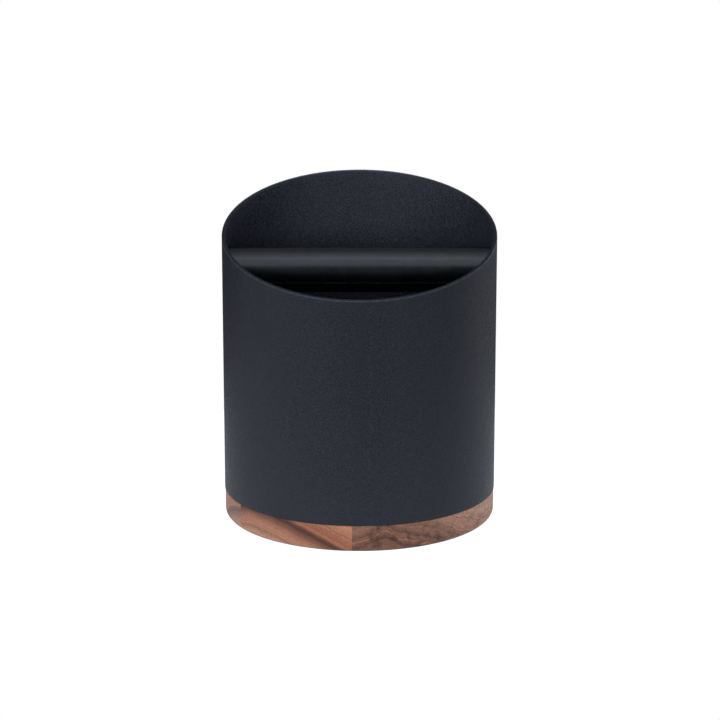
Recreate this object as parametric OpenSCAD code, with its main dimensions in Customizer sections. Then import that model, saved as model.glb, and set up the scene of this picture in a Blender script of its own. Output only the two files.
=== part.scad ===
// Coffee knock box: a round bin with a slanted rim, a rubber knock bar that lifts out, and a walnut base.
// Origin: centre of the underside, on the surface it stands on. +Z up, -Y the low front of the rim,
// and the knock bar lies along X. Millimetres.

/* [Bin] */
// Outside diameter of the bin's tube
bin_d = 140; // [130:1:150]
// Wall thickness of the tube
wall = 2; // [1.5:0.1:3]
// Height of the rim above the tube's lower edge, halfway between front and back
rim_h = 134; // [128:1:160]
// Slant of the rim in degrees, which rises from front to back
rim_slant = 15.4; // [0:0.1:20]
// Thickness of the welded floor plate
floor_t = 2; // [1.5:0.1:3]

/* [Knock bar] */
// Outside diameter of the rubber sleeve
bar_d = 23; // [20:0.5:26]
// Height of the bar's axis above the tube's lower edge
bar_h = 114.4; // [100:0.1:118]
// Diameter of the steel core
core_d = 14; // [12:0.5:16]
// Thickness of each end cap, on the bar's axis
cap_t = 5.7; // [5:0.1:6]

/* [Saddles] */
// Thickness of the silicone liner under the bar
liner_t = 1.5; // [1:0.1:3]
// Thickness of the metal round the liner
saddle_wall = 3; // [2:0.1:4]
// How far down from the bar's axis the saddle's tongue reaches
tongue_h = 39; // [36:1:44]

/* [Base] */
// Diameter of the walnut base
base_d = 139.4; // [129:0.1:149]
// Height of the walnut between the foot ring's face and the tube
base_h = 13.9; // [12:0.1:20]
// Radius of the round on the walnut's bottom edge
base_round = 3; // [1:0.1:4]
// How far the foot ring stands out below the walnut
foot_proud = 1; // [0.5:0.1:2]

/* [Hidden] */
$fn = 96;
FN_SMALL = 48;
HEXAGON = 6;
EPS = 0.01;

LEFT = -1;
RIGHT = 1;
SIDES = [LEFT, RIGHT];

// Gaps between pieces
body_gap = 0.3; // between pieces that move apart
running_gap = 0.05; // round the core, in the sleeve
end_gap = 0.1; // between the sleeve's end and a cap
thread_gap = 0.05; // between a screw and its thread
seat_gap = 0.05; // between a countersunk head and its seat

// Bin
bin_r = bin_d / 2;
bore_r = bin_r - wall;
tube_z = foot_proud + base_h;
rim_z = tube_z + rim_h;
floor_z = tube_z + 5;
cut_size = 2 * bin_d;

// Knock bar, which lies along X
bar_r = bar_d / 2;
bar_z = tube_z + bar_h;
core_r = core_d / 2;
core_chamfer = 0.5;
cap_flat = 1; // how far each side of a cap's lower half is cut back from the bar's radius
cap_ledge_h = 0.5; // height of the flats' upper ends above the bar's axis
cap_half_w = bar_r - cap_flat;
cap_end_x = bore_r - body_gap; // a cap's outer face follows the wall
core_end_x = cap_end_x - cap_t;
sleeve_end_x = core_end_x - end_gap;
sleeve_bore_r = core_r + running_gap;
sleeve_edge_r = 0.2;
key_w = 3; // the rib on a cap that fits the slot across the core's end
key_h = 1.8;
key_gap = 0.1;

// Screws, each with its thread's radius, its head's radius and its length
cap_screw_r = 2;
cap_screw_head_r = 4;
cap_screw_l = 12;
cap_screw_sink = 0.3; // how far the head lies under the cap's face, on the bar's axis
core_thread_depth = 11;
bracket_screw_r = 1.5;
bracket_screw_head_r = 3;
bracket_screw_sink = 0.12;
bracket_screw_l = 7.4;
bracket_thread_depth = 5.6;
base_screw_r = 2;
base_screw_head_r = 4;
base_screw_head_h = 2.6;
base_screw_l = 12;
base_screw_circle_r = 40;
base_screw_angles = [45, 135, 225, 315];
clear_hole_r = 0.25; // added to a screw's radius where it only passes through
socket_share = 0.38; // hexagon socket's corner radius as a share of the head's radius
socket_depth_share = 0.3; // depth of a countersunk head's socket as a share of its radius

// Saddles
saddle_x = core_end_x; // the saddles' inner faces
liner_bore_r = bar_r + body_gap;
liner_half_w = cap_half_w + body_gap;
liner_r = liner_bore_r + liner_t;
saddle_r = liner_r + saddle_wall;
tongue_r = 7;
bracket_screw_drops = [20.5, 32]; // below the bar's axis

// Base
base_r = base_d / 2;
spigot_r = bore_r - body_gap;
spigot_gap = 0.3; // between the spigot's top and the floor plate
spigot_chamfer = 0.8;
washer_r = 4.5;
washer_t = 0.8;
counterbore_r = 5;
counterbore_depth = 7.5;
nut_af_r = 4.6; // corner radius of the hexagon
nut_h = 3.5;
nut_pocket_r = 5.5;
ring_groove_r = [54, 60];
ring_groove_depth = 2.2;
ring_side_gap = 0.1;
ring_edge_r = 0.8;
screw_seat_z = foot_proud + counterbore_depth;

// Turns +Z to point outwards along X, on one side
module outwards(side) {
    rotate([0, side * 90, 0]) children();
}

// Places a child, drawn along +Z from the bar's centre, on the bar's axis
module on_bar(side) {
    translate([0, 0, bar_z]) outwards(side) children();
}

// Extrudes an outline, drawn in Y and Z about the bar's axis, between two distances from the centre
module across_bin(side, from_x, to_x) {
    translate([side * from_x, 0, bar_z])
        rotate([90, 0, side * 90])
            linear_extrude(to_x - from_x) children();
}

// Countersunk screw along Z: the head's face is at 0 and the shank points down
module countersunk_screw(shank_r, head_r, length) {
    cone_h = head_r - shank_r;
    difference() {
        union() {
            translate([0, 0, -cone_h])
                cylinder(r1 = shank_r, r2 = head_r, h = cone_h, $fn = FN_SMALL);
            translate([0, 0, -length])
                cylinder(r = shank_r, h = length - cone_h + EPS, $fn = FN_SMALL);
        }
        translate([0, 0, -socket_depth_share * head_r])
            cylinder(r = socket_share * head_r, h = head_r, $fn = HEXAGON);
    }
}

// Hole for that screw: its seat's face is at 0, and the cone runs on past it
module countersunk_hole(shank_r, head_r, depth) {
    hole_r = shank_r + clear_hole_r;
    seat_r = head_r + seat_gap;
    run_on = 1;
    translate([0, 0, hole_r - seat_r])
        cylinder(r1 = hole_r, r2 = seat_r + run_on, h = seat_r + run_on - hole_r, $fn = FN_SMALL);
    translate([0, 0, -depth])
        cylinder(r = hole_r, h = depth, $fn = FN_SMALL);
}

// ---- Bin ----

module shell() {
    color([0.18, 0.19, 0.22])
        difference() {
            translate([0, 0, tube_z]) cylinder(r = bin_r, h = bin_d + rim_h);
            translate([0, 0, tube_z - 1]) cylinder(r = bore_r, h = bin_d + rim_h + 2);
            translate([0, 0, rim_z])
                rotate([rim_slant, 0, 0])
                    translate([-cut_size / 2, -cut_size / 2, 0]) cube([cut_size, cut_size, cut_size]);
            for (side = SIDES) {
                for (drop = bracket_screw_drops) {
                    translate([0, 0, bar_z - drop])
                        outwards(side)
                            translate([0, 0, bin_r - bracket_screw_sink])
                                countersunk_hole(bracket_screw_r, bracket_screw_head_r, 2 * wall);
                }
            }
        }
}

module floor_plate() {
    color([0.18, 0.19, 0.22])
        translate([0, 0, floor_z]) cylinder(r = bore_r, h = floor_t);
}

// ---- Base ----

// Copies a child to each of the base's screws
module at_base_screws() {
    for (angle = base_screw_angles) {
        rotate([0, 0, angle]) translate([base_screw_circle_r, 0, 0]) children();
    }
}

// The walnut's outline, from its axis outwards, with its underside at 0
module base_outline() {
    square([base_r - base_round, base_h]);
    translate([0, base_round]) square([base_r, base_h - base_round]);
    translate([base_r - base_round, base_round]) circle(base_round, $fn = FN_SMALL);
}

module wood_base() {
    spigot_h = floor_z - spigot_gap - tube_z;
    color([0.42, 0.25, 0.17])
        difference() {
            union() {
                translate([0, 0, foot_proud]) rotate_extrude() base_outline();
                translate([0, 0, tube_z - EPS])
                    cylinder(r = spigot_r, h = spigot_h - spigot_chamfer + EPS);
                translate([0, 0, tube_z + spigot_h - spigot_chamfer])
                    cylinder(r1 = spigot_r, r2 = spigot_r - spigot_chamfer, h = spigot_chamfer);
            }
            translate([0, 0, foot_proud - 1])
                rotate_extrude()
                    translate([ring_groove_r[0], 0])
                        square([ring_groove_r[1] - ring_groove_r[0], ring_groove_depth + 1]);
            at_base_screws() {
                cylinder(r = counterbore_r, h = screw_seat_z, $fn = FN_SMALL);
                cylinder(r = base_screw_r + clear_hole_r, h = floor_z, $fn = FN_SMALL);
                translate([0, 0, floor_z - nut_h - spigot_gap])
                    cylinder(r = nut_pocket_r, h = nut_h + 1, $fn = FN_SMALL);
            }
        }
}

module weld_nuts() {
    color([0.72, 0.72, 0.72])
        at_base_screws()
            translate([0, 0, floor_z - nut_h])
                difference() {
                    cylinder(r = nut_af_r, h = nut_h, $fn = HEXAGON);
                    translate([0, 0, -1])
                        cylinder(r = base_screw_r + thread_gap, h = nut_h + 2, $fn = FN_SMALL);
                }
}

module base_washers() {
    color([0.75, 0.75, 0.75])
        at_base_screws()
            translate([0, 0, screw_seat_z - washer_t])
                difference() {
                    cylinder(r = washer_r, h = washer_t, $fn = FN_SMALL);
                    translate([0, 0, -1])
                        cylinder(r = base_screw_r + clear_hole_r, h = washer_t + 2, $fn = FN_SMALL);
                }
}

module base_screws() {
    head_z = screw_seat_z - washer_t - base_screw_head_h;
    edge = 0.6; // chamfer round the head
    color([0.75, 0.75, 0.75])
        at_base_screws()
            translate([0, 0, head_z])
                difference() {
                    union() {
                        cylinder(r1 = base_screw_head_r - edge, r2 = base_screw_head_r, h = edge, $fn = FN_SMALL);
                        translate([0, 0, edge])
                            cylinder(r = base_screw_head_r, h = base_screw_head_h - edge, $fn = FN_SMALL);
                        cylinder(r = base_screw_r, h = base_screw_head_h + base_screw_l, $fn = FN_SMALL);
                    }
                    translate([0, 0, -1])
                        cylinder(r = socket_share * base_screw_head_r, h = base_screw_head_h, $fn = HEXAGON);
                }
}

module foot_ring() {
    inner_r = ring_groove_r[0] + ring_side_gap;
    outer_r = ring_groove_r[1] - ring_side_gap;
    ring_h = foot_proud + ring_groove_depth;
    color([0.12, 0.12, 0.13])
        rotate_extrude() {
            translate([inner_r, ring_edge_r]) square([outer_r - inner_r, ring_h - ring_edge_r]);
            translate([inner_r + ring_edge_r, 0]) square([outer_r - inner_r - 2 * ring_edge_r, ring_h]);
            for (r = [inner_r + ring_edge_r, outer_r - ring_edge_r]) {
                translate([r, ring_edge_r]) circle(ring_edge_r, $fn = FN_SMALL);
            }
        }
}

// ---- Saddles ----

// Everything inside the tube's bore
module bin_bore() {
    translate([0, 0, tube_z]) cylinder(r = bore_r, h = rim_h);
}

// What a saddle outline keeps: below the bar's axis
module below_axis() {
    translate([-bin_r, -rim_h]) square([bin_d, rim_h]);
}

module bracket_outline() {
    difference() {
        union() {
            circle(saddle_r);
            translate([-tongue_r, tongue_r - tongue_h]) square([2 * tongue_r, tongue_h - tongue_r]);
            translate([0, tongue_r - tongue_h]) circle(tongue_r);
        }
        circle(liner_r);
    }
}

module saddle_bracket(side) {
    color([0.15, 0.16, 0.18])
        difference() {
            intersection() {
                across_bin(side, saddle_x, bin_r)
                    intersection() {
                        bracket_outline();
                        below_axis();
                    }
                bin_bore();
            }
            for (drop = bracket_screw_drops) {
                translate([0, 0, bar_z - drop])
                    outwards(side)
                        translate([0, 0, bore_r - bracket_thread_depth])
                            cylinder(r = bracket_screw_r + thread_gap, h = 2 * wall + bracket_thread_depth,
                                $fn = FN_SMALL);
            }
        }
}

module left_bracket() {
    saddle_bracket(LEFT);
}

module right_bracket() {
    saddle_bracket(RIGHT);
}

module saddle_liner(side) {
    color([0.10, 0.10, 0.11])
        intersection() {
            across_bin(side, saddle_x, bin_r)
                difference() {
                    intersection() {
                        circle(liner_r);
                        below_axis();
                    }
                    intersection() {
                        circle(liner_bore_r);
                        translate([-liner_half_w, -bar_d]) square([2 * liner_half_w, 2 * bar_d]);
                    }
                }
            bin_bore();
        }
}

module left_liner() {
    saddle_liner(LEFT);
}

module right_liner() {
    saddle_liner(RIGHT);
}

module bracket_screws() {
    color([0.10, 0.10, 0.11])
        for (side = SIDES) {
            for (drop = bracket_screw_drops) {
                translate([0, 0, bar_z - drop])
                    outwards(side)
                        translate([0, 0, bin_r - bracket_screw_sink])
                            countersunk_screw(bracket_screw_r, bracket_screw_head_r, bracket_screw_l);
            }
        }
}

// ---- Knock bar ----

module bar_core() {
    slot_w = key_w + 2 * key_gap;
    slot_h = key_h + key_gap;
    half_l = core_end_x - core_chamfer;
    color([0.70, 0.70, 0.70])
        difference() {
            union() {
                on_bar(RIGHT) translate([0, 0, -half_l]) cylinder(r = core_r, h = 2 * half_l);
                for (side = SIDES) {
                    on_bar(side)
                        translate([0, 0, half_l])
                            cylinder(r1 = core_r, r2 = core_r - core_chamfer, h = core_chamfer);
                }
            }
            for (side = SIDES) {
                on_bar(side) {
                    translate([0, 0, core_end_x - core_thread_depth])
                        cylinder(r = cap_screw_r + thread_gap, h = 2 * core_thread_depth, $fn = FN_SMALL);
                    translate([-bar_d / 2, -slot_w / 2, core_end_x - slot_h])
                        cube([bar_d, slot_w, bar_d]);
                }
            }
        }
}

module end_cap(side) {
    key_l = 2 * (core_r - core_chamfer);
    color([0.08, 0.08, 0.09])
        difference() {
            union() {
                intersection() {
                    across_bin(side, core_end_x, bin_r)
                        intersection() {
                            circle(bar_r);
                            union() {
                                translate([-cap_half_w, -bar_r]) square([2 * cap_half_w, bar_d]);
                                translate([-bar_r, cap_ledge_h]) square([bar_d, bar_r]);
                            }
                        }
                    translate([0, 0, tube_z]) cylinder(r = cap_end_x, h = rim_h);
                }
                on_bar(side)
                    translate([-key_l / 2, -key_w / 2, core_end_x - key_h])
                        cube([key_l, key_w, key_h + EPS]);
            }
            on_bar(side)
                translate([0, 0, cap_end_x - cap_screw_sink])
                    countersunk_hole(cap_screw_r, cap_screw_head_r, 2 * cap_t);
        }
}

module left_end_cap() {
    end_cap(LEFT);
}

module right_end_cap() {
    end_cap(RIGHT);
}

module end_cap_screws() {
    color([0.75, 0.75, 0.75])
        for (side = SIDES) {
            on_bar(side)
                translate([0, 0, cap_end_x - cap_screw_sink])
                    countersunk_screw(cap_screw_r, cap_screw_head_r, cap_screw_l);
        }
}

module bar_sleeve() {
    half_l = sleeve_end_x - sleeve_edge_r;
    color([0.06, 0.06, 0.07])
        on_bar(RIGHT)
            rotate_extrude() {
                translate([sleeve_bore_r, -sleeve_end_x])
                    square([bar_r - sleeve_edge_r - sleeve_bore_r, 2 * sleeve_end_x]);
                translate([sleeve_bore_r, -half_l]) square([bar_r - sleeve_bore_r, 2 * half_l]);
                for (y = [-half_l, half_l]) {
                    translate([bar_r - sleeve_edge_r, y]) circle(sleeve_edge_r, $fn = FN_SMALL);
                }
            }
}

shell();
floor_plate();
weld_nuts();
wood_base();
base_screws();
base_washers();
foot_ring();
left_bracket();
right_bracket();
left_liner();
right_liner();
bracket_screws();
bar_core();
left_end_cap();
right_end_cap();
end_cap_screws();
bar_sleeve();
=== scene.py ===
"""Looks for a coffee knock box: a powder-coated bin, a rubber knock bar that lifts out, and a walnut base.

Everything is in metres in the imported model's frame: +Z up, -Y towards the low front of the rim, and the
knock bar along X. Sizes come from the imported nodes' boxes, and what a box can't give is named below.
"""

from math import acos, asin, cos, degrees, pi, radians, sin, tan

import bmesh
import bpy
from mathutils import Matrix, Vector


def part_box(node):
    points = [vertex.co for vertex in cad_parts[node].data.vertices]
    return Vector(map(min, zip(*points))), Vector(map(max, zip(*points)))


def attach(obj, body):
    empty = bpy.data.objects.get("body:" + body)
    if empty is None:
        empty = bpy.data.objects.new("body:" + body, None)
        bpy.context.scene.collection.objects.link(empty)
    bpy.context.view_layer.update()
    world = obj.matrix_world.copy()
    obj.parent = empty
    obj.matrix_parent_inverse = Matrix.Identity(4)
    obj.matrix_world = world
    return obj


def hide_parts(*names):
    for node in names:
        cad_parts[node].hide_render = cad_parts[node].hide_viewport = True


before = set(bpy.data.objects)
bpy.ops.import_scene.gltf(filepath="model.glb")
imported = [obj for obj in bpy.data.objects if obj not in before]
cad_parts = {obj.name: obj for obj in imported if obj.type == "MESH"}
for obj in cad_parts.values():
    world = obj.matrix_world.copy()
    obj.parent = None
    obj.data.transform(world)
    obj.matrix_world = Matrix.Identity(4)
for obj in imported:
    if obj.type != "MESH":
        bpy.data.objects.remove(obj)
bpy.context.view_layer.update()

MM = 0.001

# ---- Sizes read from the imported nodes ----

shell_lo, shell_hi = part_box("shell")
floor_lo, floor_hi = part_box("floor_plate")
base_lo, base_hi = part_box("wood_base")
ring_lo, ring_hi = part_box("foot_ring")
nut_lo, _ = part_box("weld_nuts")
sleeve_lo, sleeve_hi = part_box("bar_sleeve")
_, core_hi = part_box("bar_core")
_, cap_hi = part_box("right_end_cap")
bracket_lo, bracket_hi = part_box("right_bracket")
liner_lo, liner_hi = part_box("right_liner")
bracket_screw_lo, bracket_screw_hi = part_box("bracket_screws")
_, cap_screw_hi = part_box("end_cap_screws")
base_screw_lo, base_screw_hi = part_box("base_screws")
washer_lo, washer_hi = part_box("base_washers")

BIN_R = shell_hi.x
BORE_R = floor_hi.x
TUBE_Z = shell_lo.z
BAR_Z = (sleeve_hi.z + sleeve_lo.z) / 2
BAR_R = sleeve_hi.z - BAR_Z
CORE_R = core_hi.y

# ---- Sizes that the boxes don't give ----

# The bin: the slant of its rim, and the roundings of its lip, foot and weld.
RIM_SLOPE = tan(radians(15.4))
LIP_ROUND = 0.55 * MM
EDGE_ROUND = 0.4 * MM
WELD_ROUND = 1.6 * MM

# The base and its foot ring.
BASE_ROUND = 3 * MM
TOP_EDGE_ROUND = 0.4 * MM
SPIGOT_GAP = 0.3 * MM
RING_GROOVE_GAP = 0.1 * MM
RING_GROOVE_IN_R = 54 * MM
RING_ROUND = 0.8 * MM
COUNTERBORE_R = 5 * MM
NUT_POCKET_R = 5.5 * MM

# Screws. A countersink's seat is a little wider than the head, and its hole wider than the shank.
CLEAR_HOLE = 0.25 * MM
SEAT_GAP = 0.05 * MM
SCREW_TIP = 0.4 * MM
HEAD_RIM = 0.12 * MM
SCREW_ROUND = 0.08 * MM
SOCKET_SHARE = 0.38
SOCKET_DEPTH_SHARE = 0.3
SOCKET_CONE_SHARE = 0.3
SOCKET_CONE_DEPTH_SHARE = 0.35
BRACKET_SCREW_R = 1.5 * MM
BRACKET_SCREW_HEAD_R = 3 * MM
BRACKET_SCREW_GRIP = 5.4 * MM
BRACKET_SCREW_ZS = (
    bracket_screw_hi.z - BRACKET_SCREW_HEAD_R,
    bracket_screw_lo.z + BRACKET_SCREW_HEAD_R,
)
CAP_SCREW_R = 2 * MM
CAP_SCREW_HEAD_R = 4 * MM
CAP_SCREW_LENGTH = 12 * MM
BASE_SCREW_R = 2 * MM
BASE_SCREW_HEAD_R = 4 * MM
BASE_SCREW_HEAD_H = 2.6 * MM
BASE_SCREW_CROWN = 1.2 * MM
BASE_SCREW_ROUND = 0.1 * MM
BASE_SOCKET_DEPTH = 1.5 * MM
WASHER_R = 4.5 * MM
WASHER_ROUND = 0.12 * MM

# The saddles, and the gap between them and the bar.
TONGUE_R = 7 * MM
SADDLE_ROUND = 0.5 * MM
LINER_ROUND = 0.35 * MM
BODY_GAP = 0.3 * MM

# The knock bar: its caps with two flats below, and its sleeve. The mould left a parting line along the sleeve
# at each of two angles, which turn about X from +Y.
CAP_ROUND = 0.03 * MM
CAP_HALF_W = BAR_R - 1 * MM
CAP_LEDGE_H = 0.5 * MM
SLEEVE_GAP = 0.05 * MM
SLEEVE_ROUND = 0.03 * MM
SLEEVE_END_GAP = 0.01 * MM
SEAM_ANGLES = (radians(180 + 22.7), radians(22.7))
SEAM_W = 0.36 * MM
SEAM_H = 0.14 * MM

# Segments round the big turned pieces, the small ones and the sleeve, the angle from which an edge is sharp,
# and how far a cutter runs past the face that it opens.
AROUND = 288
AROUND_SMALL = 64
AROUND_SLEEVE = 192
SMOOTH_ANGLE = radians(32)
CUT_PAST = 1 * MM


# ---- Mesh tools ----


def arc(centre, radius, start, end, steps):
    """Points along an arc, with its angles in degrees."""
    turns = [radians(start + (end - start) * i / steps) for i in range(steps + 1)]
    return [(centre[0] + radius * cos(a), centre[1] + radius * sin(a)) for a in turns]


def make_object(name, mesh):
    """Links a mesh as an object, smooth but for its sharp edges."""
    mesh.shade_smooth()
    mesh.set_sharp_from_angle(angle=SMOOTH_ANGLE)
    piece = bpy.data.objects.new(name, mesh)
    bpy.context.scene.collection.objects.link(piece)
    return piece


def finish_mesh(name, bm):
    """Turns a bmesh into an object with its faces pointing outwards."""
    bmesh.ops.recalc_face_normals(bm, faces=bm.faces)
    mesh = bpy.data.meshes.new(name)
    bm.to_mesh(mesh)
    bm.free()
    return make_object(name, mesh)


def skin(name, rings, loop=False):
    """A solid skinned over rings of points.

    A ring of one point is a tip, and loop joins the last ring to the first.
    """
    bm = bmesh.new()
    made = [[bm.verts.new(p) for p in ring] for ring in rings]
    pairs = list(zip(made, made[1:]))
    if loop:
        pairs.append((made[-1], made[0]))
    for a, b in pairs:
        count = max(len(a), len(b))
        for i in range(count):
            corners = [a[i % len(a)], a[(i + 1) % len(a)], b[(i + 1) % len(b)], b[i % len(b)]]
            bm.faces.new(dict.fromkeys(corners))
    return finish_mesh(name, bm)


def turned(name, profile, around=AROUND):
    """A solid turned about Z from (radius, height) points, which start and end on the axis or form a loop."""
    rings = []
    for radius, height in profile:
        count = around if radius > 0 else 1
        turns = [2 * pi * i / count for i in range(count)]
        rings.append([(radius * cos(a), radius * sin(a), height) for a in turns])
    return skin(name, rings, loop=profile[0][0] > 0)


def across(name, outline, inner_x, wall_r):
    """A plate from an outline of (y, z) points about the bar's axis, from inner_x out to a round wall."""
    bm = bmesh.new()
    near = [bm.verts.new((inner_x, y, BAR_Z + z)) for y, z in outline]
    far = [bm.verts.new((BIN_R, y, BAR_Z + z)) for y, z in outline]
    bm.faces.new(near)
    bm.faces.new(reversed(far))
    count = len(outline)
    for i in range(count):
        j = (i + 1) % count
        bm.faces.new((near[i], far[i], far[j], near[j]))
    plate = finish_mesh(name, bm)
    wall = turned("cutter", [(0, TUBE_Z), (wall_r, TUBE_Z), (wall_r, shell_hi.z), (0, shell_hi.z)])
    carve(plate, [wall], "INTERSECT")
    return plate


def carve(piece, cutters, operation="DIFFERENCE"):
    """Cuts solids out of a piece, or keeps only what lies in them, and removes them."""
    for cutter in cutters:
        cut = piece.modifiers.new("cut", "BOOLEAN")
        cut.operation = operation
        cut.solver = "EXACT"
        cut.object = cutter
    apply_modifiers(piece)
    for cutter in cutters:
        bpy.data.objects.remove(cutter)


def apply_modifiers(piece):
    """Makes a piece's modifiers part of its mesh."""
    depsgraph = bpy.context.evaluated_depsgraph_get()
    mesh = bpy.data.meshes.new_from_object(piece.evaluated_get(depsgraph))
    piece.modifiers.clear()
    piece.data = mesh
    mesh.shade_smooth()
    mesh.set_sharp_from_angle(angle=SMOOTH_ANGLE)


def soften(piece, width, segments=3):
    """Rounds the sharp edges of a piece."""
    bevel = piece.modifiers.new("soften", "BEVEL")
    bevel.width = width
    bevel.segments = segments
    bevel.limit_method = "ANGLE"
    bevel.angle_limit = SMOOTH_ANGLE
    bevel.use_clamp_overlap = True
    apply_modifiers(piece)


def even_shading(piece):
    """Lets a piece's wide faces lead its shading, so that the small roundings beside them don't bend it."""
    weigh = piece.modifiers.new("even_shading", "WEIGHTED_NORMAL")
    weigh.keep_sharp = True
    apply_modifiers(piece)


def join(name, parts):
    """Makes one piece of several solids."""
    bm = bmesh.new()
    for part in parts:
        part.data.transform(part.matrix_world)
        bm.from_mesh(part.data)
        bpy.data.objects.remove(part)
    mesh = bpy.data.meshes.new(name)
    bm.to_mesh(mesh)
    bm.free()
    return make_object(name, mesh)


def place(piece, matrix):
    """Moves a piece's mesh, so that its object stays at the origin."""
    piece.data.transform(matrix)
    return piece


def outwards(side, x, y, z):
    """Turns +Z to point outwards along X on one side, at a place."""
    return Matrix.Translation((side * x, y, z)) @ Matrix.Rotation(side * pi / 2, 4, "Y")


def mirror_x(piece, name):
    """A copy of a piece on the other side of X = 0."""
    bm = bmesh.new()
    bm.from_mesh(piece.data)
    bmesh.ops.scale(bm, vec=(-1, 1, 1), verts=bm.verts)
    return finish_mesh(name, bm)


# ---- Bin ----


def rim_z(y):
    """Height of the slanted rim at a distance back."""
    return shell_hi.z + (y - shell_hi.y) * RIM_SLOPE


def wall_edge(share, centre, radius, start, steps):
    """A quarter turn of the wall's section, at a share of the way up to the rim."""
    return [(r, share, z) for r, z in arc(centre, radius, start, start + 90, steps)]


def wall_stations():
    """The wall's section, up the outside, over the lip and down the bore.

    Each point is a radius, a share of the way up to the rim, and a lift.
    """
    rows, lip_steps, foot_steps = 56, 8, 4
    shares = [i / rows for i in range(1, rows)]
    outside = [(BIN_R, share, (1 - share) * EDGE_ROUND - share * LIP_ROUND) for share in shares]
    inside = [(BORE_R, share, lift) for _, share, lift in reversed(outside)]
    return [
        *outside,
        *wall_edge(1, (BIN_R - LIP_ROUND, -LIP_ROUND), LIP_ROUND, 0, lip_steps),
        *wall_edge(1, (BORE_R + LIP_ROUND, -LIP_ROUND), LIP_ROUND, 90, lip_steps),
        *inside,
        *wall_edge(0, (BORE_R + EDGE_ROUND, EDGE_ROUND), EDGE_ROUND, 180, foot_steps),
        *wall_edge(0, (BIN_R - EDGE_ROUND, EDGE_ROUND), EDGE_ROUND, -90, foot_steps),
    ]


def build_shell():
    """The tube, each of its rings tilted by its share of the rim's slant."""
    turns = [2 * pi * i / AROUND for i in range(AROUND)]
    rings = []
    for radius, share, lift in wall_stations():
        ring = []
        for a in turns:
            x, y = radius * cos(a), radius * sin(a)
            ring.append((x, y, (1 - share) * TUBE_Z + share * rim_z(y) + lift))
        rings.append(ring)
    shell = skin("bin_shell", rings, loop=True)
    carve(shell, bracket_screw_cutters())
    return shell


def countersink(shank_r, head_r, depth):
    """A cutter for a countersunk screw, with the head's face at 0."""
    hole_r, seat_r = shank_r + CLEAR_HOLE, head_r + SEAT_GAP
    profile = [
        (0, -depth),
        (hole_r, -depth),
        (hole_r, hole_r - seat_r),
        (seat_r + CUT_PAST, CUT_PAST),
        (0, CUT_PAST),
    ]
    return turned("cutter", profile, AROUND_SMALL)


def bracket_screw_places():
    """Where the saddles' screws lie in the tube's wall, face outwards."""
    return [outwards(side, bracket_screw_hi.x, 0, z) for side in (-1, 1) for z in BRACKET_SCREW_ZS]


def bracket_screw_cutters():
    """The saddle screws' holes, from the tube's outside right through its wall."""
    depth = 2 * (BIN_R - BORE_R)
    return [
        place(countersink(BRACKET_SCREW_R, BRACKET_SCREW_HEAD_R, depth), matrix)
        for matrix in bracket_screw_places()
    ]


def build_floor():
    """The floor plate, with the fillet of its weld running up the wall."""
    top, bottom = floor_hi.z, floor_lo.z
    fillet = arc((BORE_R - WELD_ROUND, top + WELD_ROUND), WELD_ROUND, 0, -90, 8)
    rows = [(BORE_R * share, top) for share in (0.75, 0.5, 0.25)]
    profile = [(0, bottom), (BORE_R, bottom), *fillet, *rows, (0, top)]
    return turned("bin_floor", profile)


# ---- Base ----


def base_screw_places():
    """Where the base's four screws stand, as a matrix each."""
    at = base_screw_hi.x - BASE_SCREW_HEAD_R
    return [Matrix.Translation((sx * at, sy * at, 0)) for sx in (-1, 1) for sy in (-1, 1)]


def base_screw_cutter():
    """A cutter for one base screw: its counterbore, its clear hole and the pocket round its nut."""
    under, top = base_lo.z - CUT_PAST, base_hi.z + CUT_PAST
    shelf, pocket = washer_hi.z, nut_lo.z - SPIGOT_GAP
    hole_r = BASE_SCREW_R + CLEAR_HOLE
    profile = [
        (0, under),
        (COUNTERBORE_R, under),
        (COUNTERBORE_R, shelf),
        (hole_r, shelf),
        (hole_r, pocket),
        (NUT_POCKET_R, pocket),
        (NUT_POCKET_R, top),
        (0, top),
    ]
    return turned("cutter", profile, AROUND_SMALL)


def build_base():
    """The walnut disc, with a spigot that fills the tube's end, a groove for the foot ring, and its holes."""
    base_r, under, shoulder, top = base_hi.x, base_lo.z, TUBE_Z, base_hi.z
    groove_r = ring_hi.x + RING_GROOVE_GAP
    spigot_r = BORE_R - SPIGOT_GAP
    side_from, side_to = under + BASE_ROUND, shoulder - TOP_EDGE_ROUND
    rows = 6
    profile = [
        (0, under),
        (RING_GROOVE_IN_R, under),
        (RING_GROOVE_IN_R, ring_hi.z),
        (groove_r, ring_hi.z),
        (groove_r, under),
        *arc((base_r - BASE_ROUND, side_from), BASE_ROUND, -90, 0, 14),
        *[(base_r, side_from + (side_to - side_from) * i / rows) for i in range(1, rows)],
        *arc((base_r - TOP_EDGE_ROUND, side_to), TOP_EDGE_ROUND, 0, 90, 4),
        (spigot_r, shoulder),
        (spigot_r, top),
        (0, top),
    ]
    base = turned("walnut_base", profile)
    carve(base, [place(base_screw_cutter(), matrix) for matrix in base_screw_places()])
    return base


def build_foot_ring():
    """The silicone ring in the base's groove, with both edges of its foot rounded."""
    inner, outer, r = RING_GROOVE_IN_R + RING_GROOVE_GAP, ring_hi.x, RING_ROUND
    profile = [
        (inner, ring_hi.z),
        *arc((inner + r, ring_lo.z + r), r, 180, 270, 6),
        *arc((outer - r, ring_lo.z + r), r, -90, 0, 6),
        (outer, ring_hi.z),
    ]
    return turned("foot_ring_silicone", profile)


# ---- Screws ----


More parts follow.
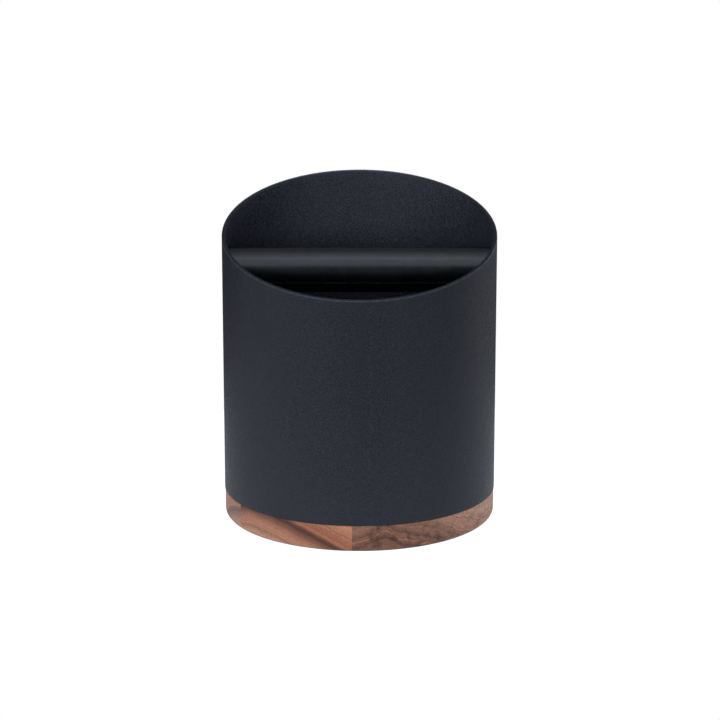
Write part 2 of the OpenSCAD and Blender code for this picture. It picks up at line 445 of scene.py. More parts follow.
def hexagon_cutter(corner_r, depth):
    """A hexagon socket's cutter, open at 0 and above, with a coned bottom."""
    turns = [radians(60 * i) for i in range(6)]
    cone_r, cone_depth = SOCKET_CONE_SHARE * corner_r, SOCKET_CONE_DEPTH_SHARE * corner_r
    rings = [
        [(0, 0, -depth - cone_depth)],
        [(cone_r * cos(a), cone_r * sin(a), -depth) for a in turns],
        [(corner_r * cos(a), corner_r * sin(a), -depth) for a in turns],
        [(corner_r * cos(a), corner_r * sin(a), CUT_PAST) for a in turns],
        [(0, 0, CUT_PAST)],
    ]
    return skin("cutter", rings)


def countersunk_screw(shank_r, head_r, length):
    """A countersunk socket screw along Z, with its face at 0."""
    profile = [
        (0, -length),
        (shank_r - SCREW_TIP, -length),
        (shank_r, SCREW_TIP - length),
        (shank_r, shank_r - head_r),
        (head_r - HEAD_RIM, -HEAD_RIM),
        (head_r - HEAD_RIM / 2, -HEAD_RIM / 4),
        (head_r - HEAD_RIM, 0),
        (0, 0),
    ]
    screw = turned("screw", profile, AROUND_SMALL)
    carve(screw, [hexagon_cutter(SOCKET_SHARE * head_r, SOCKET_DEPTH_SHARE * head_r)])
    soften(screw, SCREW_ROUND, 2)
    return screw


def build_bracket_screws():
    """The four screws that hold the saddles, two on each side."""
    length = bracket_screw_hi.x - BORE_R + BRACKET_SCREW_GRIP
    screws = [
        place(countersunk_screw(BRACKET_SCREW_R, BRACKET_SCREW_HEAD_R, length), matrix)
        for matrix in bracket_screw_places()
    ]
    return join("saddle_screws", screws)


def build_cap_screws():
    """The two screws that hold the caps, along the bar's axis."""
    screws = [
        place(
            countersunk_screw(CAP_SCREW_R, CAP_SCREW_HEAD_R, CAP_SCREW_LENGTH),
            outwards(side, cap_screw_hi.x, 0, BAR_Z),
        )
        for side in (-1, 1)
    ]
    return join("bar_end_screws", screws)


def base_screw():
    """One base screw, on its axis: a pan-head socket screw that points up."""
    face, head_top, tip = base_screw_lo.z, base_screw_lo.z + BASE_SCREW_HEAD_H, base_screw_hi.z
    crown_at = (BASE_SCREW_HEAD_R - BASE_SCREW_CROWN, face + BASE_SCREW_CROWN)
    profile = [
        (0, face),
        *arc(crown_at, BASE_SCREW_CROWN, -90, 0, 6),
        (BASE_SCREW_HEAD_R, head_top),
        (BASE_SCREW_R, head_top),
        (BASE_SCREW_R, tip - SCREW_TIP),
        (BASE_SCREW_R - SCREW_TIP, tip),
        (0, tip),
    ]
    screw = turned("screw", profile, AROUND_SMALL)
    socket = hexagon_cutter(SOCKET_SHARE * BASE_SCREW_HEAD_R, BASE_SOCKET_DEPTH)
    face_down = Matrix.Translation((0, 0, face)) @ Matrix.Rotation(pi, 4, "X")
    carve(screw, [place(socket, face_down)])
    soften(screw, BASE_SCREW_ROUND, 2)
    return screw


def base_washer():
    """The washer over one base screw's head, on its axis."""
    inner, outer, low, high = BASE_SCREW_R + CLEAR_HOLE, WASHER_R, washer_lo.z, washer_hi.z
    profile = [(inner, low), (outer, low), (outer, high), (inner, high)]
    washer = turned("washer", profile, AROUND_SMALL)
    soften(washer, WASHER_ROUND, 2)
    return washer


def build_base_screws():
    """The four screws that hold the base."""
    return join("base_fixing_screws", [place(base_screw(), matrix) for matrix in base_screw_places()])


def build_base_washers():
    """The four washers of the base's screws."""
    return join("base_fixing_washers", [place(base_washer(), matrix) for matrix in base_screw_places()])


# ---- Saddles ----


def build_bracket():
    """The right saddle: a U round the liner with a tongue below for its two screws."""
    outer_r, liner_r = bracket_hi.y, liner_hi.y
    tongue_z = bracket_lo.z - BAR_Z + TONGUE_R
    meet = degrees(acos((outer_r**2 - TONGUE_R**2) ** 0.5 / outer_r)) - 90
    outline = [
        *arc((0, 0), liner_r, 180, 360, 40),
        *arc((0, 0), outer_r, 0, meet, 20),
        *arc((0, tongue_z), TONGUE_R, 0, -180, 24),
        *arc((0, 0), outer_r, -180 - meet, -180, 20),
    ]
    bracket = across("right_saddle", outline, bracket_lo.x, BORE_R)
    soften(bracket, SADDLE_ROUND)
    return bracket


def build_liner():
    """The right saddle's liner, whose flats keep the bar's cap from turning."""
    bore_r = BAR_R + BODY_GAP
    half_w = CAP_HALF_W + BODY_GAP
    corner = degrees(acos(half_w / bore_r))
    outline = [
        (-half_w, 0),
        *arc((0, 0), bore_r, 180 + corner, 360 - corner, 40),
        (half_w, 0),
        *arc((0, 0), liner_hi.y, 0, -180, 48),
    ]
    liner = across("right_saddle_liner", outline, liner_lo.x, BORE_R)
    soften(liner, LINER_ROUND)
    return liner


# ---- Knock bar ----


def build_cap():
    """The right end cap: a disc with two flats below, bent like the wall outside and sunk for its screw."""
    corner = degrees(acos(CAP_HALF_W / BAR_R))
    ledge = degrees(asin(CAP_LEDGE_H / BAR_R))
    outline = [
        *arc((0, 0), BAR_R, ledge, 180 - ledge, 72),
        (-CAP_HALF_W, CAP_LEDGE_H),
        *arc((0, 0), BAR_R, 180 + corner, 360 - corner, 48),
        (CAP_HALF_W, CAP_LEDGE_H),
    ]
    cap = across("right_bar_cap", outline, core_hi.x, cap_hi.x)
    soften(cap, CAP_ROUND)
    cutter = countersink(CAP_SCREW_R, CAP_SCREW_HEAD_R, CAP_SCREW_LENGTH)
    carve(cap, [place(cutter, outwards(1, cap_screw_hi.x, 0, BAR_Z))])
    return cap


def seam_turns():
    """Angles round the sleeve, evenly spaced and close together at each parting line."""
    turns = [2 * pi * i / AROUND_SLEEVE for i in range(AROUND_SLEEVE)]
    step, steps = SEAM_W / BAR_R / 4, 3
    for seam in SEAM_ANGLES:
        turns = [a for a in turns if abs(a - seam) > steps * step]
        turns += [seam + step * i for i in range(-steps, steps + 1)]
    return sorted(turns)


def seam_height(turn):
    """How far the parting line's ridge stands out of the sleeve at an angle."""
    nearest = min(abs(turn - seam) for seam in SEAM_ANGLES) * BAR_R
    share = max(0, 1 - nearest / (SEAM_W / 2))
    return SEAM_H * share * share * (3 - 2 * share)


def build_sleeve():
    """The rubber sleeve, skinned from one end to the other over its outside and back through its bore."""
    end_x, r, bore_r = core_hi.x - SLEEVE_END_GAP, SLEEVE_ROUND, CORE_R + SLEEVE_GAP
    rows = 24
    straight = end_x - r
    stations = [
        *arc((-straight, BAR_R - r), r, 180, 90, 8),
        *[(-straight + 2 * straight * i / rows, BAR_R) for i in range(1, rows)],
        *arc((straight, BAR_R - r), r, 90, 0, 8),
        (end_x, bore_r),
        (-end_x, bore_r),
    ]
    turns = seam_turns()
    rings = []
    for x, radius in stations:
        ridge = 1 if radius > BAR_R - r / 2 else 0
        ring = []
        for a in turns:
            reach = radius + ridge * seam_height(a)
            ring.append((x, reach * cos(a), BAR_Z + reach * sin(a)))
        rings.append(ring)
    return skin("knock_bar_sleeve", rings, loop=True)


# ---- Materials ----

# The range that most of a noise's values lie in.
NOISE_LOW = 0.3
NOISE_HIGH = 0.7

# Gloss: its level, and a tint that is a little cool.
COAT_GLOSS = {"Specular_IOR_Level": 0.3, "Specular_Tint": (0.96, 1.0, 1.08, 1)}
RUBBER_GLOSS = {"Specular_IOR_Level": 0.33, "Specular_Tint": (0.95, 1.0, 1.08, 1)}
WOOD_GLOSS = {"Specular_IOR_Level": 0.2}

# The coat: its colours between the grains and on them, outside and inside the bin, where they are painted
# lighter to offset the shade in it, and a painted highlight, a lighter, patchy line along the rim's outer
# edge, which is widest at the back.
COAT_OUTSIDE = ((0.49, (0, 0, 0.002)), (0.64, (0.0155, 0.0172, 0.0245)))
COAT_INSIDE_PAINTED_LIGHTER = ((0.49, (0, 0, 0.003)), (0.6, (0.026, 0.0296, 0.0395)))
COAT_ROUGHNESS = (0.44, 0.8)
COAT_PEEL_DEPTH = 0.05 * MM
COAT_GRAIN_DEPTH = 0.12 * MM
RIM_HIGHLIGHT_W = 0.5 * MM
RIM_HIGHLIGHT_BACK_W = 1.6 * MM
RIM_HIGHLIGHT_COLOUR = (0.12, 0.133, 0.153)
RIM_HIGHLIGHT_FRONT_SHARE = 0.18

# How deep the fine relief of the other skins is.
MOULDED_DEPTH = 0.012 * MM
BRUSHED_DEPTH = 0.006 * MM
FIBRE_DEPTH = 0.02 * MM
PORE_DEPTH = 0.04 * MM

# The walnut's two boards, and the strip at the left one's edge, which is paler and has its rings shifted. The
# bearings of the fibres are in degrees from the front round to the right, and heights are up from the ground.
BOARD_SEAM_X = -3.6 * MM
STRIP_SEAM_X = -60.4 * MM
STRIP_TINT = (0.98, 1.1, 1.18)
STRIP_BLOOM = (0.36, 0.23, 0.175)
STRIP_BLOOM_SHARE = 0.24
STRIP_SHIFT = 3 * MM
GLUE_LINE = 0.12 * MM
GLUE_SHADE = 0.6
PORE_TINT = (0.5, 0.48, 0.46)
FIBRE_SHADES = (0.85, 1.15)
FIBRE_ROUGHNESS = (0.6, 0.7)
LEFT_FIBRES = -48
RIGHT_FIBRES = 13
LEFT_GROWTH = 0.16
RIGHT_GROWTH = 0.28
LEFT_SWAY = 0.9 * MM
RIGHT_WAVES = 4 * MM
RIGHT_RIPPLE = 1.6 * MM
RIGHT_VEIN_SHADES = (1.05, 0.58)
LEFT_PITH_Z = -58.1 * MM
LEFT_RINGS = (  # mm from the pith, colour
    (58, (0.267, 0.121, 0.074)),
    (62, (0.304, 0.144, 0.089)),
    (64.5, (0.215, 0.100, 0.061)),
    (67, (0.283, 0.123, 0.072)),
    (69.5, (0.232, 0.096, 0.056)),
    (72, (0.122, 0.049, 0.030)),
    (74.5, (0.049, 0.017, 0.010)),
    (75.5, (0.084, 0.030, 0.017)),
    (77.2, (0.232, 0.086, 0.044)),
    (78.5, (0.183, 0.066, 0.034)),
    (80, (0.216, 0.079, 0.041)),
    (83, (0.246, 0.096, 0.051)),
    (86, (0.325, 0.136, 0.074)),
    (90, (0.220, 0.088, 0.049)),
    (93, (0.104, 0.041, 0.026)),
    (98, (0.267, 0.110, 0.064)),
)
RIGHT_BANDS = (  # mm up the swept figure, colour
    (0, (0.133, 0.056, 0.034)),
    (5.5, (0.120, 0.052, 0.032)),
    (6.3, (0.087, 0.037, 0.023)),
    (7.6, (0.130, 0.056, 0.034)),
    (9.6, (0.062, 0.026, 0.016)),
    (12.3, (0.155, 0.067, 0.041)),
    (15.2, (0.091, 0.041, 0.026)),
    (18.5, (0.151, 0.072, 0.045)),
    (22, (0.142, 0.069, 0.044)),
    (26, (0.211, 0.105, 0.069)),
    (30, (0.245, 0.128, 0.085)),
    (34, (0.264, 0.147, 0.101)),
    (37, (0.280, 0.158, 0.109)),
    (42, (0.266, 0.153, 0.107)),
)
RIGHT_SWEEP = (  # mm across the fibres, mm of lift
    (-70, 26),
    (-40, 13),
    (-18, 5.8),
    (-12, 5),
    (-6, 1),
    (0, 0),
    (6, 5.6),
    (20, 8),
    (30, 14),
    (38, 18),
    (52, 24),
    (70, 26),
)


class Recipe:
    """A material being built from nodes round one Principled shader."""

    def __init__(self, name, **surface):
        self.material = bpy.data.materials.new(name)
        self.material.use_nodes = True
        self.tree = self.material.node_tree
        self.shader = self.tree.nodes["Principled BSDF"]
        for socket, value in surface.items():
            self.shader.inputs[socket.replace("_", " ")].default_value = value
        self.where = self.add("ShaderNodeTexCoord").outputs["Object"]

    def add(self, kind, inputs=None, **settings):
        """Adds a node. inputs gives each socket a value, or an output to link."""
        node = self.tree.nodes.new(kind)
        for key, value in settings.items():
            setattr(node, key, value)
        for socket, value in (inputs or {}).items():
            self.put(node.inputs[socket], value)
        return node

    def put(self, socket, value):
        """Links an output to a socket, or sets the socket's own value."""
        if isinstance(value, bpy.types.NodeSocket):
            self.tree.links.new(value, socket)
        else:
            socket.default_value = value

    def surface(self, socket, value):
        """Gives the shader one of its inputs."""
        self.put(self.shader.inputs[socket], value)

    def noise(self, scale, detail=2.0, rough=0.5, vector=None):
        """A noise texture's value, with scale in features per metre."""
        inputs = {
            "Vector": vector or self.where,
            "Scale": scale,
            "Detail": detail,
            "Roughness": rough,
        }
        return self.add("ShaderNodeTexNoise", inputs).outputs["Fac"]

    def line_noise(self, along, scale, detail=2.0):
        """Noise that changes only with one value."""
        inputs = {"W": along, "Scale": scale, "Detail": detail}
        return self.add("ShaderNodeTexNoise", inputs, noise_dimensions="1D").outputs["Fac"]

    def rotated(self, bearing):
        """The place across the fibres, along them and up, with the fibres at a bearing from the front."""
        turn = (0, 0, -radians(bearing))
        return self.add("ShaderNodeMapping", {"Vector": self.where, "Rotation": turn}).outputs[0]

    def scaled(self, vector, scale, shift=(0, 0, 0)):
        """A vector scaled along each axis and then shifted."""
        inputs = {"Vector": vector, "Scale": scale, "Location": shift}
        return self.add("ShaderNodeMapping", inputs).outputs[0]

    def drawn_out(self, fibres, share):
        """A place whose noise is drawn out along the fibres."""
        return self.scaled(fibres, (1, share, 1))

    def parts(self, vector):
        """A vector's three components."""
        return self.add("ShaderNodeSeparateXYZ", {0: vector}).outputs

    def length(self, vector):
        """A vector's length."""
        return self.add("ShaderNodeVectorMath", {0: vector}, operation="LENGTH").outputs["Value"]

    def bands(self, value, stops):
        """A colour ramp over a length, with stops in mm."""
        first, last = stops[0][0], stops[-1][0]
        share = self.spread(value, 0, 1, first * MM, last * MM)
        return self.ramp(share, [((at - first) / (last - first), colour) for at, colour in stops])

    def curve(self, value, points):
        """A smooth curve through (mm, mm) points."""
        top = max(height for _, height in points)
        first, last = points[0][0], points[-1][0]
        share = self.spread(value, 0, 1, first * MM, last * MM)
        stops = [((at - first) / (last - first), (height / top,) * 3) for at, height in points]
        return self.spread(self.ramp(share, stops, "B_SPLINE"), 0, top * MM)

    def ramp(self, value, stops, mode="LINEAR"):
        """A colour ramp through (position, colour) stops."""
        node = self.add("ShaderNodeValToRGB", {"Fac": value})
        node.color_ramp.interpolation = mode
        elements = node.color_ramp.elements
        while len(elements) < len(stops):
            elements.new(1.0)
        for element, (position, colour) in zip(elements, stops):
            element.position = position
            element.color = (*colour, 1)
        return node.outputs["Color"]

    def spread(self, value, low, high, from_low=0.0, from_high=1.0):
        """Maps a value from one range to another, which comes first."""
        inputs = {
            "Value": value,
            "From Min": from_low,
            "From Max": from_high,
            "To Min": low,
            "To Max": high,
        }
        return self.add("ShaderNodeMapRange", inputs).outputs["Result"]

    def maths(self, operation, a, b=0.0):
        """The result of a Math node's operation on one or two values."""
        return self.add("ShaderNodeMath", {0: a, 1: b}, operation=operation).outputs[0]

    def mix(self, factor, a, b, blend="MIX"):
        """Two colours mixed. The node has several sockets of each name, so they go by number."""
        node = self.add("ShaderNodeMix", data_type="RGBA", blend_type=blend)
        for index, value in ((0, factor), (6, a), (7, b)):
            colour = isinstance(value, tuple) and len(value) == 3
            self.put(node.inputs[index], (*value, 1) if colour else value)
        return node.outputs[2]

    def tinted(self, colour, tint):
        """A colour multiplied by another, or by a value."""
        return self.mix(1.0, colour, tint, "MULTIPLY")

    def bump(self, height, depth, strength=1.0, normal=None):
        """Adds relief of a real depth, on top of another relief if one is given."""
        inputs = {"Height": height, "Distance": depth, "Strength": strength}
        if normal is not None:
            inputs["Normal"] = normal
        return self.add("ShaderNodeBump", inputs).outputs["Normal"]


def dimmed(colour, share):
    """A plain colour times a number."""
    return tuple(share * c for c in colour)


def rim_painted_highlight(recipe, radius):
    """How strongly the painted highlight lightens the coat: patchily along the rim's outer edge, more so at
    the back, and nowhere else.
    """
    _, y, z = recipe.parts(recipe.where)
    rim = recipe.maths("ADD", recipe.maths("MULTIPLY", y, RIM_SLOPE), rim_z(0))
    near_rim = recipe.maths("LESS_THAN", recipe.maths("SUBTRACT", rim, z), RIM_HIGHLIGHT_W)
    inner_edge = recipe.spread(y, BIN_R - RIM_HIGHLIGHT_W, BIN_R - RIM_HIGHLIGHT_BACK_W, 0, BIN_R)
    near_outside = recipe.maths("GREATER_THAN", radius, inner_edge)
    patchy = recipe.spread(recipe.noise(500), 0.5, 1, 0.35, 0.6)
    highlight_strength = recipe.maths("MULTIPLY", patchy, recipe.spread(y, RIM_HIGHLIGHT_FRONT_SHARE, 1, 0, BIN_R))
    return recipe.maths("MULTIPLY", recipe.maths("MULTIPLY", near_rim, near_outside), highlight_strength)


def powder_coat(name):
    """Fine-textured charcoal powder coat, painted lighter inside the bin to offset the shade there, with a
    painted rim highlight.
    """
    recipe = Recipe(name, **COAT_GLOSS)
    grain = recipe.noise(2400, rough=0.6)
    peel = recipe.noise(700, detail=1)
    radius = recipe.length(recipe.scaled(recipe.where, (1, 1, 0)))
    inside = recipe.maths("LESS_THAN", radius, (BIN_R + BORE_R) / 2)
    # Inside the bin the coat is painted lighter, as painted light that offsets the shade there.
    colour = recipe.mix(inside, recipe.ramp(grain, COAT_OUTSIDE), recipe.ramp(grain, COAT_INSIDE_PAINTED_LIGHTER))
    # A painted highlight lightens the coat's colour along the rim's outer edge.
    recipe.surface("Base Color", recipe.mix(rim_painted_highlight(recipe, radius), colour, RIM_HIGHLIGHT_COLOUR))
    recipe.surface("Roughness", recipe.spread(grain, *COAT_ROUGHNESS, 0.35, 0.65))
    relief = recipe.bump(peel, COAT_PEEL_DEPTH)
    recipe.surface("Normal", recipe.bump(grain, COAT_GRAIN_DEPTH, normal=relief))
    return recipe.material


def rubber(name, colour, rough, texture):
    """Moulded rubber or silicone with a faint skin texture, of so many features per metre."""
    recipe = Recipe(name, **RUBBER_GLOSS)
    clouds = recipe.noise(90, detail=3)
    recipe.surface("Base Color", recipe.mix(clouds, dimmed(colour, 0.8), dimmed(colour, 1.2)))
    recipe.surface("Roughness", recipe.spread(recipe.noise(160, detail=3), rough - 0.04, rough + 0.05))
    recipe.surface("Normal", recipe.bump(recipe.noise(texture), MOULDED_DEPTH, 0.4))
    return recipe.material


def plastic(name, colour):
    """Black moulded nylon, as satin as the rubber beside it."""
    recipe = Recipe(name, **RUBBER_GLOSS)
    recipe.surface("Base Color", recipe.mix(recipe.noise(700), dimmed(colour, 0.85), colour))
    recipe.surface("Roughness", recipe.spread(recipe.noise(400), 0.25, 0.33))
    recipe.surface("Normal", recipe.bump(recipe.noise(2000), MOULDED_DEPTH, 0.4))
    return recipe.material


def metal(name, colour, rough, squeeze=(1, 1, 1)):
    """Machined or plated metal with fine tool marks, which run along the axis that is squeezed least."""
    recipe = Recipe(name, Metallic=1.0, Base_Color=(*colour, 1))
    marks = recipe.noise(1800, detail=3, rough=0.6, vector=recipe.scaled(recipe.where, squeeze))
    recipe.surface("Base Color", recipe.mix(marks, dimmed(colour, 0.85), colour))
    recipe.surface("Roughness", recipe.spread(marks, rough - 0.08, rough + 0.1))
    recipe.surface("Normal", recipe.bump(marks, BRUSHED_DEPTH, 0.4))
    return recipe.material


def left_figure(recipe, fibres, strip):
    """The left board's rings: how far each place lies from the pith, which runs under the ground."""
    sway = recipe.noise(55, vector=recipe.drawn_out(fibres, 0.2))
    radius = recipe.length(recipe.scaled(fibres, (1, 0, 1), (0, 0, -LEFT_PITH_Z)))
    radius = recipe.maths("ADD", radius, recipe.spread(sway, -LEFT_SWAY, LEFT_SWAY, 0.25, 0.75))
    return recipe.maths("ADD", radius, recipe.maths("MULTIPLY", strip, STRIP_SHIFT))


def right_figure(recipe, fibres):
    """The right board's figure: how high each place lies in bands that sweep up on both sides and waver."""
    over, _, up = recipe.parts(fibres)
    waves = recipe.noise(130, detail=3, rough=0.55, vector=recipe.drawn_out(fibres, 0.25))
    ripple = recipe.noise(420, detail=3, rough=0.6, vector=recipe.drawn_out(fibres, 0.2))
    height = recipe.maths("ADD", up, recipe.curve(over, RIGHT_SWEEP))
    height = recipe.maths("ADD", height, recipe.spread(waves, -RIGHT_WAVES, RIGHT_WAVES))
    return recipe.maths("ADD", height, recipe.spread(ripple, -RIGHT_RIPPLE, RIGHT_RIPPLE))


def walnut(name):
    """Oiled walnut of two boards: on the left arching rings, on the right a swept and wavy figure."""
    recipe = Recipe(name, **WOOD_GLOSS)
    x, _, _ = recipe.parts(recipe.where)
    on_right = recipe.maths("GREATER_THAN", x, BOARD_SEAM_X)
    strip = recipe.maths("LESS_THAN", x, STRIP_SEAM_X)
    left, right = recipe.rotated(LEFT_FIBRES), recipe.rotated(RIGHT_FIBRES)
    along = recipe.mix(on_right, left, right)
    radius = left_figure(recipe, left, strip)
    height = right_figure(recipe, right)

    left_colour = recipe.bands(radius, LEFT_RINGS)
    strip_colour = recipe.mix(STRIP_BLOOM_SHARE, recipe.tinted(left_colour, STRIP_TINT), STRIP_BLOOM)
    left_colour = recipe.mix(strip, left_colour, strip_colour)
    veins = recipe.noise(190, detail=4, rough=0.62, vector=recipe.drawn_out(right, 0.12))
    vein_shade = recipe.spread(veins, *RIGHT_VEIN_SHADES, 0.52, 0.66)
    right_colour = recipe.tinted(recipe.bands(height, RIGHT_BANDS), vein_shade)
    colour = recipe.mix(on_right, left_colour, right_colour)

    growth = recipe.line_noise(recipe.mix(on_right, radius, height), 1100, 3)
    contrast = recipe.spread(on_right, LEFT_GROWTH, RIGHT_GROWTH)
    shade = recipe.maths("MULTIPLY", recipe.spread(growth, -1, 1, NOISE_LOW, NOISE_HIGH), contrast)
    colour = recipe.tinted(colour, recipe.maths("ADD", shade, 1))
    fibres = recipe.noise(1300, rough=0.6, vector=recipe.drawn_out(along, 0.07))
    colour = recipe.tinted(colour, recipe.spread(fibres, *FIBRE_SHADES, NOISE_LOW, NOISE_HIGH))
    pore_grain = recipe.noise(2300, detail=1, vector=recipe.drawn_out(along, 0.035))
    pores = recipe.spread(pore_grain, 0, 1, 0.6, 0.68)
    colour = recipe.mix(pores, colour, recipe.tinted(colour, PORE_TINT))
    glue_gap = recipe.maths("ABSOLUTE", recipe.maths("SUBTRACT", x, BOARD_SEAM_X))
    glue = recipe.spread(glue_gap, GLUE_SHADE, 1, 0, GLUE_LINE)
    recipe.surface("Base Color", recipe.tinted(colour, glue))

    recipe.surface("Roughness", recipe.spread(fibres, *FIBRE_ROUGHNESS, NOISE_LOW, NOISE_HIGH))
    relief = recipe.bump(fibres, FIBRE_DEPTH, 0.5)
    recipe.surface("Normal", recipe.bump(recipe.maths("SUBTRACT", 1, pores), PORE_DEPTH, 0.5, relief))
    return recipe.material


# ---- Assembly ----


def show(piece, body, slot, material, *nodes):
    """Gives a piece its material and body, and hides the nodes that it stands for. The slot is not used."""
    piece.data.materials.clear()
    piece.data.materials.append(material)
    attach(piece, body)
    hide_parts(*nodes)


def dress(node, material):
    """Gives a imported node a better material."""
    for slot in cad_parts[node].material_slots:
        slot.material = material


coat = powder_coat("charcoal_powder_coat")
saddle_coat = powder_coat("saddle_powder_coat")
walnut_wood = walnut("oiled_walnut")
bar_rubber = rubber("satin_black_rubber", colour=(0.0004, 0.0006, 0.001), rough=0.28, texture=1500)
silicone = rubber("black_silicone", colour=(0.014, 0.014, 0.015), rough=0.6, texture=1900)
nylon = plastic("black_nylon", colour=(0.0006, 0.0008, 0.0012))
zinc = metal("zinc_plated_steel", colour=(0.62, 0.62, 0.60), rough=0.34)
black_oxide = metal("black_oxide_steel", colour=(0.05, 0.05, 0.055), rough=0.42)
ground_steel = metal("ground_steel_rod", colour=(0.58, 0.57, 0.55), rough=0.3, squeeze=(1, 12, 12))

show(build_shell(), "bin", "powder_coat", coat, "shell")
show(build_floor(), "bin", "powder_coat", coat, "floor_plate")
show(build_base(), "bin", "walnut", walnut_wood, "wood_base")
show(build_foot_ring(), "bin", "silicone", silicone, "foot_ring")
show(build_base_screws(), "bin", "zinc_steel", zinc, "base_screws")
show(build_base_washers(), "bin", "zinc_steel", zinc, "base_washers")
show(build_bracket_screws(), "bin", "black_steel", black_oxide, "bracket_screws")

right_saddle = build_bracket()
show(mirror_x(right_saddle, "left_saddle"), "bin", "saddle_metal", saddle_coat, "left_bracket")
show(right_saddle, "bin", "saddle_metal", saddle_coat, "right_bracket")
right_liner = build_liner()
show(mirror_x(right_liner, "left_saddle_liner"), "bin", "silicone", silicone, "left_liner")
show(right_liner, "bin", "silicone", silicone, "right_liner")

right_cap = build_cap()
left_cap = mirror_x(right_cap, "left_bar_cap")
sleeve = build_sleeve()
for piece in (left_cap, right_cap, sleeve):
    even_shading(piece)
show(left_cap, "bar", "cap_plastic", nylon, "left_end_cap")
show(right_cap, "bar", "cap_plastic", nylon, "right_end_cap")
show(build_cap_screws(), "bar", "zinc_steel", zinc, "end_cap_screws")
show(sleeve, "sleeve", "bar_rubber", bar_rubber, "bar_sleeve")

dress("weld_nuts", zinc)
dress("bar_core", ground_steel)

# ---- Stage, light and camera ----

# The light is a little cool, the floor is an oval, and the softboxes face a point on the bin's axis. Lengths
# are in metres, angles in degrees, and the lens and sensor in mm.
LIGHT_COLOUR = (0.95, 1.0, 1.08)
WORLD_STRENGTH = 0.01
BACKDROP_COLOUR = (1, 1, 1)
FLOOR_R = 0.36
FLOOR_DEPTH_SHARE = 0.55
FLOOR_AROUND = 96
FLOOR_COLOUR = (0.1, 0.1, 0.1)
FLOOR_GLOW = 1.1
LIGHT_TARGET_Z = 0.09
LIGHT_DISTANCE = 1.6
SOFTBOXES = (  # name, azimuth, elevation, width, height, radiance
    ("overhead_front_box", 0, 52, 0.76, 0.58, 2.24),
    ("overhead_box", 0, 72, 0.52, 0.5, 3.7),
    ("overhead_top_box", 0, 90, 0.45, 0.45, 2.2),
    ("overhead_back_box", 180, 72, 0.52, 0.5, 0.97),
    ("back_high_box", 180, 51, 0.7, 0.68, 0.28),
    ("back_low_box", 180, 28, 0.7, 0.56, 0.14),
    ("front_high_box", 0, 37, 0.6, 0.4, 1.2),
    ("front_left_box", 330, 26, 0.75, 0.95, 4.4),
    ("front_right_box", 30, 26, 0.75, 0.95, 2.1),
    ("low_left_box", 332, 8, 0.6, 0.3, 8.2),
    ("low_right_box", 28, 8, 0.6, 0.3, 10.4),
    ("left_box", 285, 10, 1.6, 0.6, 3.6),
    ("right_box", 60, 10, 0.85, 0.56, 1.9),
    ("back_right_box", 122, 10, 0.85, 0.56, 5.8),
)
CAMERA_PITCH = 14.843
CAMERA_LENS = 130.3
CAMERA_SENSOR_W = 36
CAMERA_SHIFT = 0.00075
CAMERA_AIM_H = 66.73 * MM
CAMERA_DISTANCE = 1341.85 * MM
CAMERA_REACH = 50


def add_floor():
    """An oval light table under the bin, wide to its sides."""
    floor = bpy.data.meshes.new("studio_floor")
    bm = bmesh.new()
    bmesh.ops.create_circle(bm, cap_ends=True, segments=FLOOR_AROUND, radius=FLOOR_R)
    bmesh.ops.scale(bm, vec=(1, FLOOR_DEPTH_SHARE, 1), verts=bm.verts)
    bm.to_mesh(floor)
    bm.free()
    stage = bpy.data.objects.new("studio_floor", floor)
    bpy.context.scene.collection.objects.link(stage)
    recipe = Recipe("pale_floor", Base_Color=(*FLOOR_COLOUR, 1), Roughness=0.9, Specular_IOR_Level=0.0)
    recipe.surface("Emission Color", (*LIGHT_COLOUR, 1))
    recipe.surface("Emission Strength", FLOOR_GLOW)
    floor.materials.append(recipe.material)


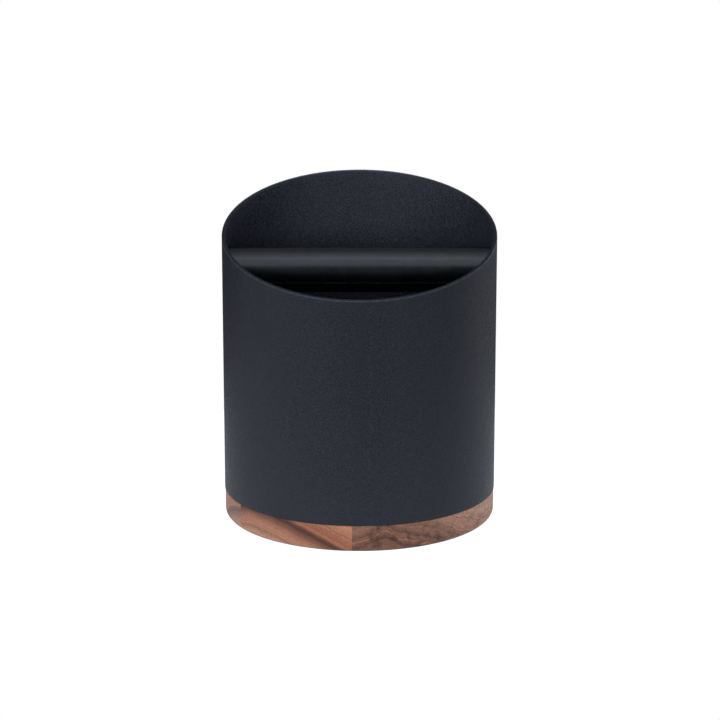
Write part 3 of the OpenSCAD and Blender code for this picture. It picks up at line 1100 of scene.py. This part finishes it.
def add_world():
    """A white backdrop that only the camera sees, and a trace of light from all round."""
    world = bpy.data.worlds.new("studio")
    world.use_nodes = True
    tree = world.node_tree
    lit = tree.nodes["Background"]
    lit.inputs["Color"].default_value = (*LIGHT_COLOUR, 1)
    lit.inputs["Strength"].default_value = WORLD_STRENGTH
    seen = tree.nodes.new("ShaderNodeBackground")
    seen.inputs["Color"].default_value = (*BACKDROP_COLOUR, 1)
    paths = tree.nodes.new("ShaderNodeLightPath")
    mix = tree.nodes.new("ShaderNodeMixShader")
    tree.links.new(paths.outputs["Is Camera Ray"], mix.inputs[0])
    tree.links.new(lit.outputs[0], mix.inputs[1])
    tree.links.new(seen.outputs[0], mix.inputs[2])
    tree.links.new(mix.outputs[0], tree.nodes["World Output"].inputs["Surface"])
    bpy.context.scene.world = world


def softbox(name, azimuth, elevation, width, height, radiance):
    """A rectangular light that faces the bin. Azimuth 0 is in front of it and 90 on its right."""
    a, e = radians(azimuth), radians(elevation)
    towards = Vector((sin(a) * cos(e), -cos(a) * cos(e), sin(e)))
    data = bpy.data.lights.new(name, "AREA")
    data.shape = "RECTANGLE"
    data.size, data.size_y = width, height
    data.energy = radiance * pi * width * height
    data.color = LIGHT_COLOUR
    lamp = bpy.data.objects.new(name, data)
    lamp.location = Vector((0, 0, LIGHT_TARGET_Z)) + LIGHT_DISTANCE * towards
    lamp.rotation_euler = towards.to_track_quat("Z", "Y").to_euler()
    lamp.visible_camera = False
    bpy.context.scene.collection.objects.link(lamp)


def add_camera():
    """Looks along +Y and down, through a long lens."""
    pitch = radians(CAMERA_PITCH)
    lens = bpy.data.cameras.new("camera")
    lens.lens = CAMERA_LENS
    lens.sensor_width = CAMERA_SENSOR_W
    lens.shift_x = CAMERA_SHIFT
    lens.clip_end = CAMERA_REACH
    camera = bpy.data.objects.new("camera", lens)
    target = Vector((0, 0, TUBE_Z + CAMERA_AIM_H))
    camera.location = target + CAMERA_DISTANCE * Vector((0, -cos(pitch), sin(pitch)))
    camera.rotation_euler = (pi / 2 - pitch, 0, 0)
    bpy.context.scene.collection.objects.link(camera)
    bpy.context.scene.camera = camera


add_floor()
add_world()
for box in SOFTBOXES:
    softbox(*box)
add_camera()
bpy.context.scene.view_settings.view_transform = "Standard"
bpy.context.scene.view_settings.look = "None"
